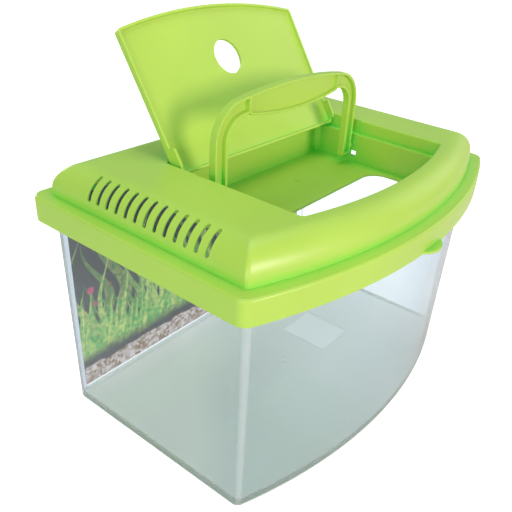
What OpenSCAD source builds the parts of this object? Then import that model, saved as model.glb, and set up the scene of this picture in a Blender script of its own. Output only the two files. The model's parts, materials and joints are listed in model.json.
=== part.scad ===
// Plastic pet keeper: a clear bow-fronted tank with a backdrop sheet on its rear wall, and a lift-off lid
// that carries a hinged hatch and a folding carrying handle in one deep well.
// The origin is the middle of the tank's base, from its rear wall to its front corners. The bow faces -Y.

/* [Tank] */
// Width across the outside of the base
tank_w = 278; // [200:1:360]
// Depth of the base, from the rear wall to the front corners
tank_d = 158; // [130:1:220]
// How far the bowed front stands out past the front corners
tank_bow = 27.5; // [15:0.5:40]
// Height from the base to the top of the rim
tank_h = 162.8; // [120:0.2:220]
// Thickness of the tank's walls
tank_wall = 2.2; // [1.6:0.1:3.5]
// Thickness of the floor
floor_t = 2.6; // [2:0.1:4]
// How much further out each wall stands at the rim than at the base
tank_flare = 2.4; // [1:0.1:5]
// Radius of the tank's upright corners
tank_corner_r = 6; // [4:0.5:12]
// Radius between the walls and the floor inside
floor_fillet = 4; // [2:0.5:6]
// Thickness of the rim's flange, which the lid sits on
flange_t = 2.4; // [1.6:0.1:4]

/* [Backdrop sheet] */
// Thickness of the printed sheet
sheet_t = 0.5; // [0.3:0.1:1]
// Distance from the sheet's side edges to the tank's sides
sheet_margin = 8; // [6:0.5:20]
// Height of the sheet's lower edge above the base
sheet_bottom = 5; // [3:0.5:15]
// Gap between the sheet and the rear wall
sheet_gap = 0.1; // [0.05:0.05:0.3]

/* [Lid] */
// Wall thickness of the lid moulding
lid_t = 2.2; // [1.8:0.1:3]
// How far the skirt's outside stands out past the tank's rim wall
lid_overhang = 8.4; // [6.5:0.1:12]
// Gap between the skirt and the rim's flange
lid_gap = 0.8; // [0.4:0.1:1.5]
// Gap between the lid's underside and the top of the rim
seat_gap = 0.3; // [0.2:0.05:0.5]
// Height of the skirt, from its lower edge to the ledge on top of it
skirt_h = 16.7; // [12:0.1:24]
// Radius of the skirt's top edge
skirt_edge_r = 1.8; // [1:0.1:2]
// Radius of the skirt's upright corners
skirt_corner_r = 9; // [6:0.5:14]
// Width of the flat ledge between the skirt's outside and the dome
ledge_w = 9.4; // [7:0.1:14]
// Height of the dome above the ledge
dome_h = 21; // [19:0.5:28]
// Radius of the roll from the dome's sides to its top
dome_r = 18; // [12:0.5:18]

/* [Vents] */
// Number of vent slots on each side
vent_count = 13; // [7:1:15]
// Distance from one slot to the next
vent_pitch = 7.9; // [7:0.1:9]
// Width of a slot
vent_w = 3.1; // [2:0.1:3.6]
// Where each slot starts on the roll, as an angle up from the dome's side
vent_from = 12.5; // [5:0.5:30]
// Where each slot ends on the roll
vent_to = 69; // [50:0.5:80]
// Distance of the middle slot in front of the origin
vent_forward = 4.7; // [0:0.1:12]

/* [Well] */
// Distance from the hatch's front edge to the front of the well, left open for a finger
finger_gap = 13.9; // [8:0.1:16]
// How far the front of the well bows
well_bow = 13.2; // [8:0.2:18]
// Gap between the hatch and the sides of the well
hatch_gap = 1.5; // [0.6:0.1:2]
// How far the ledges in the well reach in under the hatch's sides
rest_w = 3; // [1.2:0.1:5]
// Width of the ledge at the front of the well
front_ledge = 2.5; // [1:0.1:6]
// Depth of the well from the lid's top to its floor
well_depth = 33; // [31:0.5:40]
// Radius of the well's top edge
well_edge_r = 1; // [0.5:0.1:1.2]
// Distance from the lower well's side walls to the feeding opening
mouth_side = 6.5; // [5:0.5:24]
// Distance from the hatch's rear edge to the rear of the feeding opening
mouth_rear = 58.4; // [50:0.2:66]
// Distance from the lower well's front wall to the feeding opening
mouth_margin = 18; // [5:0.5:24]
// Radius of the feeding opening's corners
mouth_corner_r = 14; // [6:0.5:16]

/* [Hatch] */
// Width of the hatch
hatch_w = 173; // [140:1:200]
// Length of the hatch along its middle
hatch_len = 105; // [95:0.2:120]
// How far the hatch's front edge bows
hatch_bow = 9.6; // [6:0.2:18]
// Thickness of the hatch's plate
hatch_t = 2; // [1.6:0.1:3]
// Depth of the hatch with its rim
hatch_depth = 4.6; // [3.6:0.1:6]
// Thickness of the hatch's rim
hatch_rim_t = 1.8; // [1.4:0.1:2.4]
// Depth of the stop lugs at the hinge end of the rim's sides
lug_depth = 8.8; // [7:0.1:10]
// Length of the stop lugs, from the hatch's rear edge
lug_len = 17.4; // [14:0.2:24]
// How far the hatch's top lies below the lid's top when shut
hatch_sink = 1; // [0.5:0.1:2]
// Distance of the hatch's rear edge behind the origin when shut
hatch_rear = 31.4; // [25:0.1:40]
// Radius of the finger hole
hole_r = 12.5; // [8:0.5:15]
// Distance from the hatch's rear edge to the hole's centre
hole_from_rear = 68.3; // [50:0.1:80]
// Distance of the hinge pins from the hatch's rear edge
pin_from_rear = 5.4; // [4.5:0.1:5.6]
// Distance of the hinge pins below the hatch's top
pin_depth = 2.3; // [2.1:0.1:3]
// Radius of the hinge pins
pin_r = 1.6; // [1.2:0.1:2]
// Radius of the ears round the hinge pins
ear_r = 6; // [4.5:0.1:6]
// Angle that the hatch swings back through from shut
open_angle = 123.3; // [90:0.1:123.3]

/* [Handle] */
// Gap between each leg and the wall of the well
leg_gap = 3; // [0.5:0.1:4]
// Width of the legs and the arch, across the handle
strap_w = 11.2; // [8:0.1:14]
// Thickness of the legs and the arch, from front to rear
strap_t = 5.4; // [4.6:0.1:8]
// Thickness of the web along the strap's rear face
web_t = 2.2; // [1.6:0.1:4]
// Width of the two flanges that stand forward from the web
flange_w = 2; // [1.4:0.1:2.6]
// Height of the arch's top above the pivots
handle_h = 66.5; // [60:0.5:70]
// Radius of the arch's long top curve
arch_r = 400; // [250:5:600]
// Radius of the arch's outer corners
arch_corner_r = 26; // [14:0.5:28]
// Half length of the grip
grip_half = 50; // [40:1:52]
// How far the grip bulges down past the arch in the middle
grip_drop = 9; // [3:0.2:10]
// How far the grip's ends hang below the arch
grip_step = 1.4; // [0.6:0.1:3]
// Radius of the grip's lower corners
grip_corner_r = 3.5; // [2.4:0.1:5]
// Thickness of the grip, from front to rear
grip_t = 6.4; // [5:0.1:10]
// Width of the raised rim round the grip's front
grip_rim_w = 1.7; // [1.2:0.1:2.2]
// Depth of the panel inside that rim
grip_recess = 2.8; // [0.3:0.1:3.6]
// Radius of the pivot pins
pivot_r = 2.6; // [2:0.1:3.4]
// How far each leg runs on past its pivot
foot_len = 5.3; // [4.6:0.1:6]
// Height of the pivots above the well's floor
pivot_up = 12.7; // [10:0.1:14]
// Distance of the pivots behind the origin
pivot_y = 0.2; // [-2:0.1:6]
// Radial clearance of each pin in its bore
pin_clear = 0.08; // [0.02:0.01:0.1]

/* [Lifting tab] */
// Width of the half-round tab under the front of the skirt
tab_w = 32; // [20:1:44]
// How far the tab stands out
tab_out = 5.5; // [4:0.5:9]
// Thickness of the tab
tab_t = 1.8; // [1.4:0.1:2.4]

/* [Hidden] */

eps = 0.01;
corner_steps = 6;     // segments in each upright corner
front_steps = 24;     // segments in each bowed front
roll_steps = 8;       // segments in the dome's roll
round_fn = 64;

lime = [0.62, 0.80, 0.25];
clear_grey = [0.80, 0.85, 0.87, 0.4];
print_green = [0.25, 0.50, 0.32];

// Heights
lid_base_z = tank_h + seat_gap;               // underside of the ledge, over the rim
ledge_z = lid_base_z + lid_t;                 // top of the skirt's ledge
skirt_z = ledge_z - skirt_h;                  // lower edge of the skirt
dome_z = ledge_z + dome_h;                    // top of the lid
well_floor_z = dome_z - well_depth;
hatch_top_z = dome_z - hatch_sink;            // top of the shut hatch
hatch_low_z = hatch_top_z - hatch_depth;      // lower edge of the shut hatch's rim
lug_low_z = hatch_top_z - lug_depth;          // lower edge of its stop lugs
rest_gap = 0.5;                               // between the shut hatch's lugs and their ledge
rest_z = lug_low_z - rest_gap;                // ledge inside the well
pivot_z = well_floor_z + pivot_up;
hinge_y = hatch_rear - pin_from_rear;
hinge_z = hatch_top_z - pin_depth;

// A bowed outline is [half width, radius of the front, y of the front's centre, rear y, corner radius]
function front_radius(half_w, bow) = (half_w * half_w + bow * bow) / (2 * bow);
function bowed(half_w, front_y, bow, rear_y, r) =
    [half_w, front_radius(half_w, bow), front_y + front_radius(half_w, bow), rear_y, r];
function inset(s, k, least_r = 2.5) = [s[0] - k, s[1] - k, s[2], s[3] - k, max(s[4] - k, least_r)];
function front_y(s) = s[2] - s[1];

// The points of a bowed outline, counter-clockwise from the rear right corner
function arc_points(cx, cy, r, from, to, steps, first = 0, last = 0) =
    [for (i = [first : steps - last]) let (a = from + (to - from) * i / steps) [cx + r * cos(a), cy + r * sin(a)]];
function outline(s) =
    let (half_w = s[0], big_r = s[1], big_y = s[2], rear_y = s[3], r = s[4],
         cx = half_w - r,
         cy = big_y - sqrt(pow(big_r - r, 2) - pow(cx, 2)),
         a = 360 + atan2(cy - big_y, -cx))
    concat(
        arc_points(cx, rear_y - r, r, 0, 90, corner_steps),
        arc_points(-cx, rear_y - r, r, 90, 180, corner_steps),
        arc_points(-cx, cy, r, 180, a, corner_steps),
        arc_points(0, big_y, big_r, a, 540 - a, front_steps, 1, 1),
        arc_points(cx, cy, r, 540 - a, 360, corner_steps));
function ring(s, z) = [for (p = outline(s)) [p[0], p[1], z]];

// The outlines, each worked out from the one it fits
base = bowed(tank_w / 2, -tank_d / 2 - tank_bow, tank_bow, tank_d / 2, tank_corner_r);
rim = inset(base, -tank_flare);
rim_flange = inset(rim, -(lid_overhang - lid_t - lid_gap));
skirt_raw = inset(rim, -lid_overhang);
skirt = [skirt_raw[0], skirt_raw[1], skirt_raw[2], skirt_raw[3], skirt_corner_r];
dome = inset(skirt, ledge_w, 3);
hatch_outline = bowed(hatch_w / 2, hatch_rear - hatch_len, hatch_bow, hatch_rear, 3);
well_top = bowed(hatch_w / 2 + hatch_gap, front_y(hatch_outline) - finger_gap, well_bow,
    hatch_rear + hatch_gap, 2.6);
well_draft = 0.5;                             // taper of the lower well over its height
well_low = bowed(hatch_w / 2 - rest_w, front_y(well_top) + front_ledge, well_bow,
    hatch_rear + hatch_gap - 0.2, 4);
mouth = bowed(well_low[0] - mouth_side, front_y(well_low) + mouth_margin, 9, hatch_rear - mouth_rear,
    mouth_corner_r);

// A solid through a list of rings: capped at both ends, or joined end to end
module skin(rings, closed = false) {
    n = len(rings[0]);
    m = len(rings);
    spans = closed ? m : m - 1;
    sides = [for (i = [0 : spans - 1]) for (j = [0 : n - 1])
        let (a = i * n + j, b = i * n + (j + 1) % n, k = ((i + 1) % m) * n,
             c = k + j, d = k + (j + 1) % n)
        each [[a, c, d], [a, d, b]]];
    caps = closed ? [] : [[for (j = [0 : n - 1]) j], [for (j = [0 : n - 1]) m * n - 1 - j]];
    polyhedron([for (r = rings) each r], concat(sides, caps), convexity = 12);
}

module along_x(from, to, r, fn = round_fn) {
    translate([from, 0, 0]) rotate([0, 90, 0]) cylinder(r = r, h = to - from, $fn = fn);
}

module both_sides() {
    children();
    mirror([1, 0, 0]) children();
}

// ---------- Tank ----------

base_round = 1.6;                             // rounding of the base's lower edge
function tank_wall_y(z) = tank_d / 2 + tank_flare * z / tank_h;   // outside of the rear wall
function wall_at(z, k) = inset(base, k - tank_flare * z / tank_h);

module tank() {
    flange_low = tank_h - flange_t;
    fillet_z = floor_t + floor_fillet;
    outside = [
        ring(inset(base, base_round), 0),
        ring(inset(base, base_round * 0.3), base_round * 0.3),
        ring(wall_at(base_round, 0), base_round),
        ring(wall_at(flange_low, 0), flange_low),
        ring(rim_flange, flange_low),
        ring(rim_flange, tank_h)];
    inside = concat(
        [ring(wall_at(tank_h, tank_wall), tank_h)],
        [for (a = [0 : 30 : 90])
            ring(wall_at(fillet_z, tank_wall + floor_fillet * (1 - cos(a))), fillet_z - floor_fillet * sin(a))]);
    color(clear_grey) {
        skin(concat(outside, inside));
        // bare raised panel and gate mark on the floor
        translate([29, -30, floor_t - eps]) cube([38, 44, 0.4 + eps]);
        translate([-4, -13, floor_t - eps]) cylinder(r = 3, h = 0.5 + eps, $fn = round_fn);
    }
}

// ---------- Backdrop sheet ----------

module backdrop_sheet() {
    top = tank_h - flange_t - 2;
    low_y = tank_wall_y(sheet_bottom) + sheet_gap;
    top_y = tank_wall_y(top) + sheet_gap;
    w = tank_w - 2 * sheet_margin;
    color(print_green)
        translate([-w / 2, 0, 0]) rotate([90, 0, 90]) linear_extrude(w)
            polygon([[low_y, sheet_bottom], [low_y + sheet_t, sheet_bottom],
                [top_y + sheet_t, top], [top_y, top]]);
}

// ---------- Lid ----------

// The moulding is one closed section carried round: up the skirt, over the ledge and the dome, down the well
// to the feeding opening, and back along the underside one wall thickness away.
module lid_shell() {
    roll_z = dome_z - dome_r;
    roll = [for (i = [0 : roll_steps]) 90 * i / roll_steps];
    edge = [0, 45, 90];
    upper = concat(
        [ring(skirt, skirt_z)],
        [for (a = edge) ring(inset(skirt, skirt_edge_r * (1 - cos(a))), ledge_z - skirt_edge_r * (1 - sin(a)))],
        [ring(dome, ledge_z)],
        [for (a = roll) ring(inset(dome, dome_r * (1 - cos(a)), 3), roll_z + dome_r * sin(a))],
        [for (a = edge) ring(inset(well_top, -well_edge_r * (1 - sin(a))), dome_z - well_edge_r * (1 - cos(a)))],
        [ring(well_top, rest_z), ring(well_low, rest_z),
         ring(inset(well_low, well_draft), well_floor_z), ring(mouth, well_floor_z)]);
    under = concat(
        [ring(mouth, well_floor_z - lid_t),
         ring(inset(well_low, well_draft - lid_t), well_floor_z - lid_t),
         ring(inset(well_low, -lid_t), rest_z - lid_t), ring(inset(well_top, -lid_t), rest_z - lid_t),
         ring(inset(well_top, -lid_t), dome_z - lid_t)],
        [for (i = [roll_steps : -1 : 0]) let (a = roll[i])
            ring(inset(dome, dome_r - (dome_r - lid_t) * cos(a), 3), roll_z + (dome_r - lid_t) * sin(a))],
        [ring(inset(dome, lid_t, 3), lid_base_z), ring(inset(skirt, lid_t), lid_base_z),
         ring(inset(skirt, lid_t), skirt_z)]);
    skin(concat(upper, under), closed = true);
}

// One vent: a round-ended slot between two angles on the roll, cut square to the chord between them
module vent() {
    mid = (vent_from + vent_to) / 2;
    half = (vent_to - vent_from) / 2;
    slot_len = 2 * dome_r * sin(half);
    translate([dome_r - dome[0], 0, dome_z - dome_r]) rotate([0, mid - 90, 0])
        translate([0, 0, dome_r * cos(half) - 5]) {
            for (end = [-1, 1])
                translate([end * (slot_len - vent_w) / 2, 0, 0]) cylinder(d = vent_w, h = 12, $fn = 24);
            translate([-(slot_len - vent_w) / 2, -vent_w / 2, 0]) cube([slot_len - vent_w, vent_w, 12]);
        }
}

module vents() {
    both_sides()
        for (i = [0 : vent_count - 1])
            translate([0, (i - (vent_count - 1) / 2) * vent_pitch - vent_forward, 0]) vent();
}

boss_t = 3.4;                                 // length of the pivot boss behind the well's wall
boss_wall = 1.8;
guide_w = strap_t + 2;                        // guide groove above each pivot bore
guide_d = 0.8;
notch_w = guide_w + 3;                        // notch for the leg in the upper well's side
notch_d = 1.2;
foot_window = [5.5, 4.2];                     // opening in the wall below the pivot

module lid() {
    bore_from = well_low[0] - 3;
    boss_end = well_low[0] + lid_t + boss_t;
    color(lime) difference() {
        union() {
            lid_shell();
            both_sides() translate([0, pivot_y, pivot_z])
                along_x(well_low[0] + lid_t / 2, boss_end, pivot_r + boss_wall);
            // half-round lifting tab under the middle of the skirt's front
            difference() {
                translate([0, front_y(skirt) + tab_w / 2 - tab_out, skirt_z])
                    cylinder(d = tab_w, h = tab_t, $fn = round_fn);
                translate([0, skirt[2], skirt_z - 1]) cylinder(r = skirt[1] - 0.8, h = tab_t + 2, $fn = 180);
            }
            // gate mark on the well's floor
            translate([15.5, 3, well_floor_z - eps]) cylinder(r = 2, h = 0.5 + eps, $fn = 32);
        }
        vents();
        both_sides() {
            translate([0, pivot_y, pivot_z]) along_x(bore_from, boss_end + 1, pivot_r + pin_clear);
            translate([0, hinge_y, hinge_z]) along_x(bore_from, well_top[0] + lid_t + 1, pin_r + pin_clear);
            translate([bore_from, pivot_y - guide_w / 2, pivot_z])
                cube([well_low[0] + guide_d - bore_from, guide_w, rest_z - pivot_z + 1]);
            translate([bore_from, pivot_y - notch_w / 2, rest_z])
                cube([well_top[0] + notch_d - bore_from, notch_w, dome_z - rest_z + 1]);
            translate([bore_from, pivot_y - guide_w / 2 - 2.8, pivot_z - pivot_r - boss_wall / 2 - foot_window[1]])
                cube([boss_end + 1 - bore_from, foot_window[0], foot_window[1]]);
        }
    }
}

// ---------- Hatch ----------

// The hatch as it lies shut
module hatch_shut() {
    inner = inset(hatch_outline, hatch_rim_t, 1.4);
    side_x = hatch_w / 2 - hatch_rim_t - 0.2;
    difference() {
        union() {
            translate([0, 0, hatch_low_z]) linear_extrude(hatch_depth) polygon(outline(hatch_outline));
            // stop lugs on the sides of the rim, which come down on the ledges in the well
            both_sides() translate([hatch_w / 2 - hatch_rim_t, hatch_rear - lug_len, lug_low_z])
                cube([hatch_rim_t, lug_len - hatch_outline[4], lug_depth - hatch_t]);
        }
        translate([0, 0, lug_low_z - 1]) linear_extrude(lug_depth - hatch_t + 1) polygon(outline(inner));
        // the lugs' ends are rounded to ears about the hinge pins
        both_sides() difference() {
            translate([side_x, hinge_y, lug_low_z - 1]) cube([10, pin_from_rear + 1, hinge_z - lug_low_z + 1]);
            translate([0, hinge_y, hinge_z]) along_x(side_x - 1, side_x + 11, ear_r);
        }
        translate([0, hatch_rear - hole_from_rear, hatch_top_z - hatch_t - 1])
            cylinder(r = hole_r, h = hatch_t + 2, $fn = round_fn);
    }
    both_sides() translate([0, hinge_y, hinge_z]) along_x(hatch_w / 2 - hatch_rim_t, well_top[0] + lid_t - 0.3, pin_r);
}

module hatch() {
    color(lime)
        translate([0, hinge_y, hinge_z]) rotate([-open_angle, 0, 0]) translate([0, -hinge_y, -hinge_z]) hatch_shut();
}

// ---------- Handle ----------

leg_half = well_low[0] - well_draft - leg_gap;   // outside of the legs

// The arch's outline, inset by k, in the handle's plane with the pivots on the X axis
function arch_points(k) =
    let (half = leg_half - k, top_r = arch_r - k, r = arch_corner_r - k,
         centre = handle_h - arch_r,
         cx = half - r,
         cz = centre + sqrt(pow(top_r - r, 2) - pow(cx, 2)),
         a = atan2(cz - centre, cx))
    concat(
        [[half, -foot_len]],
        arc_points(cx, cz, r, 0, a, 10),
        arc_points(0, centre, top_r, a, 180 - a, 20, 1, 1),
        arc_points(-cx, cz, r, 180 - a, 180, 10),
        [[-half, -foot_len]]);

// A slab in the handle's plane, from one distance in front of the pivots' plane to another
module slab(from, to) {
    translate([0, to, 0]) rotate([90, 0, 0]) linear_extrude(to - from) children();
}

module arch_band(outer_k, inner_k, from, to) {
    difference() {
        slab(from, to) polygon(arch_points(outer_k));
        slab(from - 1, to + 1) translate([0, -1]) polygon(arch_points(inner_k));
    }
}

// The grip: the arch's own top edge above, one long curve below, and round-cornered ends
function grip_points(k) =
    let (centre = handle_h - arch_r, top_r = arch_r - k,
         half = grip_half - grip_corner_r,
         low = handle_h - strap_w - grip_drop,
         end_low = centre + sqrt(pow(arch_r - strap_w, 2) - pow(grip_half, 2)) - grip_step,
         cz = end_low + grip_corner_r,
         low_r = (half * half + pow(cz - low, 2) - pow(grip_corner_r, 2)) / (2 * (cz - low - grip_corner_r)),
         r = grip_corner_r - k,
         a = acos((grip_half - k) / top_r),
         b = asin(half / (low_r - grip_corner_r)))
    concat(
        arc_points(0, centre, top_r, a, 180 - a, 20),
        arc_points(-half, cz, r, 180, 270 - b, 4),
        arc_points(0, low + low_r, low_r - k, 270 - b, 270 + b, 20, 1, 1),
        arc_points(half, cz, r, 270 + b, 360, 4));

module grip() {
    difference() {
        slab(-grip_t / 2, grip_t / 2) polygon(grip_points(0));
        slab(-grip_t / 2 - 1, grip_recess - grip_t / 2) polygon(grip_points(grip_rim_w));
    }
}

module handle() {
    front = -strap_t / 2;
    rear = strap_t / 2;
    color(lime) translate([0, pivot_y, pivot_z]) {
        arch_band(0, flange_w, front, rear);
        arch_band(strap_w - flange_w, strap_w, front, rear);
        arch_band(flange_w - eps, strap_w - flange_w + eps, rear - web_t, rear);
        grip();
        both_sides() {
            // the wall that closes the leg's end
            translate([leg_half - strap_w, front, -foot_len]) cube([strap_w, strap_t, flange_w]);
            along_x(leg_half - eps, well_low[0] + lid_t + boss_t - 0.4, pivot_r);
        }
    }
}

tank();
backdrop_sheet();
lid();
hatch();
handle();
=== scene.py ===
"""A plastic pet keeper: a clear bow-fronted tank, a backdrop film, and a lid with a hatch and a folding handle.

The packed frame gives the places and the outer sizes. Each operator makes one piece around it, in metres.
"""

import json
import math
from collections import namedtuple

import bmesh
import bpy
from mathutils import Matrix, Vector


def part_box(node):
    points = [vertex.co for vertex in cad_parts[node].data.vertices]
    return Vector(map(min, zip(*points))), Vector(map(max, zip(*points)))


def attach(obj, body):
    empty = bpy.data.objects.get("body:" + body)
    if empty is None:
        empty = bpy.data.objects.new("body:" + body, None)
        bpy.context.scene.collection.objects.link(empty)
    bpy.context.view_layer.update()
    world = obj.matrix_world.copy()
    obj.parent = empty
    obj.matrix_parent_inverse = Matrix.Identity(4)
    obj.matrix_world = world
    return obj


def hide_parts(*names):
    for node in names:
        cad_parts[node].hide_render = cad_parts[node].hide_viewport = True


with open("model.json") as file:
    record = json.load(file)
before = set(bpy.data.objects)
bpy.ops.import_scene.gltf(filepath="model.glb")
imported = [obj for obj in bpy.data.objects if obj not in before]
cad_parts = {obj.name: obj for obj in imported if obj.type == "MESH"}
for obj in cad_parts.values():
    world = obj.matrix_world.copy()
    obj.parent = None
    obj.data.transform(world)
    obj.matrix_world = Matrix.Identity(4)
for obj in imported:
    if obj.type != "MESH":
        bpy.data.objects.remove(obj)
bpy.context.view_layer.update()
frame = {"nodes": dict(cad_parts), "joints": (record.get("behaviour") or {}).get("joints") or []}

bl_info = {
    "name": "Pet keeper",
    "version": (1, 0, 0),
    "blender": (4, 5, 0),
    "location": "3D View > Sidebar > Pet keeper",
    "description": "Builds a plastic pet keeper with its lid, hatch, handle and backdrop film",
    "category": "Add Mesh",
}

MM = 0.001
JOINTS = {joint["name"]: joint for joint in frame["joints"]}
TANK_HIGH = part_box("tank")[1]
SHEET_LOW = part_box("backdrop_sheet")[0]
LID_LOW, LID_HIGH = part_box("lid")
HATCH_HINGE = Vector(JOINTS["hatch_hinge"]["pos_m"])
HATCH_SWING = math.radians(JOINTS["hatch_hinge"]["range_deg"][1])
HANDLE_PIVOT = Vector(JOINTS["handle_fold"]["pos_m"])


def length(name, mm, description):
    """A size that a user may change."""
    return bpy.props.FloatProperty(
        name=name, default=mm * MM, description=description, min=0.0, unit="LENGTH", subtype="DISTANCE", precision=4
    )


def slant(name, degrees, description):
    """An angle that a user may change."""
    return bpy.props.FloatProperty(
        name=name, default=math.radians(degrees), description=description, subtype="ANGLE", unit="ROTATION"
    )


def shade_of(name, hex_value, description):
    """A colour that a user may change, from its sRGB hex value."""
    return bpy.props.FloatVectorProperty(
        name=name, default=linear(hex_value), description=description, subtype="COLOR", size=4, min=0.0, max=1.0
    )


def linear(hex_value):
    """Linear RGBA of an sRGB hex colour."""
    channels = [((hex_value >> shift) & 255) / 255 for shift in (16, 8, 0)]
    return tuple(c / 12.92 if c <= 0.04045 else ((c + 0.055) / 1.055) ** 2.4 for c in channels) + (1.0,)


# ---------- Settings ----------


class KeeperTank(bpy.types.PropertyGroup):
    """Sizes of the clear tank."""

    width: length("Base width", 278, "Width across the outside of the base")
    depth: length("Base depth", 158, "From the rear wall to the front corners")
    bow: length("Bow", 27.5, "How far the front stands out past its corners")
    wall: length("Wall", 2.2, "Thickness of the walls")
    floor: length("Floor", 2.6, "Thickness of the floor")
    flare: length("Flare", 2.4, "How much further out the walls stand at the rim")
    corner: length("Corner radius", 6, "Radius of the upright corners")
    fillet: length("Floor fillet", 4, "Radius between walls and floor inside")
    base_round: length("Base rounding", 1.6, "Rounding of the base's lower edge")
    flange: length("Flange", 2.4, "Thickness of the rim's flange")


class KeeperLid(bpy.types.PropertyGroup):
    """Sizes of the lid moulding."""

    wall: length("Wall", 2.2, "Wall thickness of the moulding")
    overhang: length("Overhang", 8.4, "How far the skirt stands out past the tank's rim wall")
    skirt_height: length("Skirt height", 16.7, "From the skirt's lower edge to its ledge")
    skirt_edge: length("Skirt edge radius", 1.8, "Radius of the skirt's top edge")
    skirt_corner: length("Skirt corner radius", 9, "Radius of the skirt's upright corners")
    ledge: length("Ledge", 9.4, "Width of the ledge round the dome")
    roll: length("Dome roll", 18, "Radius from the dome's sides to its top")
    crease: length("Dome crease radius", 3, "Radius of the creases at the dome's corners")
    finger_gap: length("Finger trough", 13.9, "Trough in front of the shut hatch")
    well_bow: length("Well bow", 13.2, "How far the front of the well bows")
    hatch_gap: length("Hatch gap", 1.5, "Gap at the sides of the hatch")
    rest: length("Rest", 3, "How far the ledges in the well reach in under the hatch")
    front_ledge: length("Front ledge", 2.5, "Width of the ledge at the front of the well")
    well_depth: length("Well depth", 33, "From the lid's top to the well's floor")
    well_edge: length("Well edge radius", 1, "Radius of the well's top edge")
    mouth_side: length("Opening side margin", 6.5, "From the lower well's side walls to the opening")
    mouth_rear: length("Opening setback", 58.4, "From the hatch's rear edge to the opening")
    mouth_margin: length("Opening margin", 18, "From the lower well's front wall to the opening")
    mouth_corner: length("Opening corner radius", 14, "Radius of the feeding opening's corners")
    boss_depth: length("Boss depth", 3.4, "Length of a pivot boss behind the well's wall")
    boss_wall: length("Boss wall", 1.8, "Wall of a pivot boss round its bore")
    groove: length("Leg groove", 0.8, "Depth of the groove above each pivot bore")
    notch: length("Leg notch", 1.2, "Depth of the notch for each leg in the upper well")
    window_width: length("Window width", 5.5, "Width of the opening below each pivot")
    window_height: length("Window height", 4.2, "Height of the opening below each pivot")
    tab_width: length("Tab width", 32, "Width of the lifting tab")
    tab_out: length("Tab length", 5.5, "How far the lifting tab stands out")
    tab_thick: length("Tab thickness", 1.8, "Thickness of the lifting tab")


class KeeperVents(bpy.types.PropertyGroup):
    """The vent slots in the dome's roll."""

    count: bpy.props.IntProperty(name="Count", default=13, min=1, max=15, description="Slots on each side")
    pitch: length("Pitch", 7.9, "Distance from one slot to the next")
    width: length("Slot width", 3.1, "Width of a slot")
    start: slant("Start", 12.5, "Where a slot starts on the roll, up from the dome's side")
    end: slant("End", 69, "Where a slot ends on the roll")
    forward: length("Forward", 4.7, "Distance of the middle slot in front of the origin")
    lip: length("Lip", 1, "Depth of a slot before it widens inside the lid")
    relief: length("Relief", 1.3, "How much wider a slot is on each side behind its lip")


class KeeperHatch(bpy.types.PropertyGroup):
    """Sizes of the hatch."""

    width: length("Width", 173, "Width of the hatch")
    reach: length("Length", 105, "Length of the hatch along its middle")
    bow: length("Bow", 9.6, "How far its front edge bows")
    plate: length("Plate", 2, "Thickness of its plate")
    depth: length("Depth", 4.6, "Depth with its rim")
    lug_depth: length("Lug depth", 8.8, "Depth of the stop lugs at the hinge")
    lug_length: length("Lug length", 17.4, "Length of the stop lugs from the rear edge")
    rim: length("Rim", 1.8, "Thickness of its rim")
    pin_inset: length("Pin inset", 5.4, "Distance of the pins from its rear edge")
    pin_depth: length("Pin depth", 2.3, "Distance of the pins below its top")
    pin: length("Pin radius", 1.6, "Radius of the hinge pins")
    ear: length("Ear radius", 6, "Radius of the rim's ends round the pins")
    hole: length("Hole radius", 12.5, "Radius of the finger hole")
    hole_back: length("Hole place", 68.3, "From its rear edge to the hole's centre")


class KeeperHandle(bpy.types.PropertyGroup):
    """Sizes of the folding handle."""

    leg_gap: length("Leg gap", 3, "Gap between a leg and the well's wall")
    strap: length("Strap width", 11.2, "Width of the legs and the arch")
    thick: length("Strap thickness", 5.4, "Thickness of the legs and the arch")
    web: length("Web", 2.2, "Thickness of the web along the strap's rear face")
    flange: length("Flange", 2, "Width of each flange")
    height: length("Height", 66.5, "From the pivots to the top of the arch")
    arch: length("Arch radius", 400, "Radius of the long top curve")
    corner: length("Corner radius", 26, "Radius of the arch's outer corners")
    grip_half: length("Grip half length", 50, "Half length of the grip")
    grip_drop: length("Grip drop", 9, "How far the grip bulges below the arch")
    grip_step: length("Grip step", 1.4, "How far the grip's ends hang below the arch")
    grip_corner: length("Grip corner radius", 3.5, "Radius of the grip's lower corners")
    grip_thick: length("Grip thickness", 6.4, "Thickness of the grip")
    grip_rim: length("Grip rim", 1.7, "Width of the raised rim round the grip's front")
    recess: length("Grip recess", 2.8, "Depth of the panel inside that rim")
    pin: length("Pin radius", 2.6, "Radius of the pivot pins")
    foot: length("Foot length", 5.3, "How far a leg runs on past its pivot")


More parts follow.
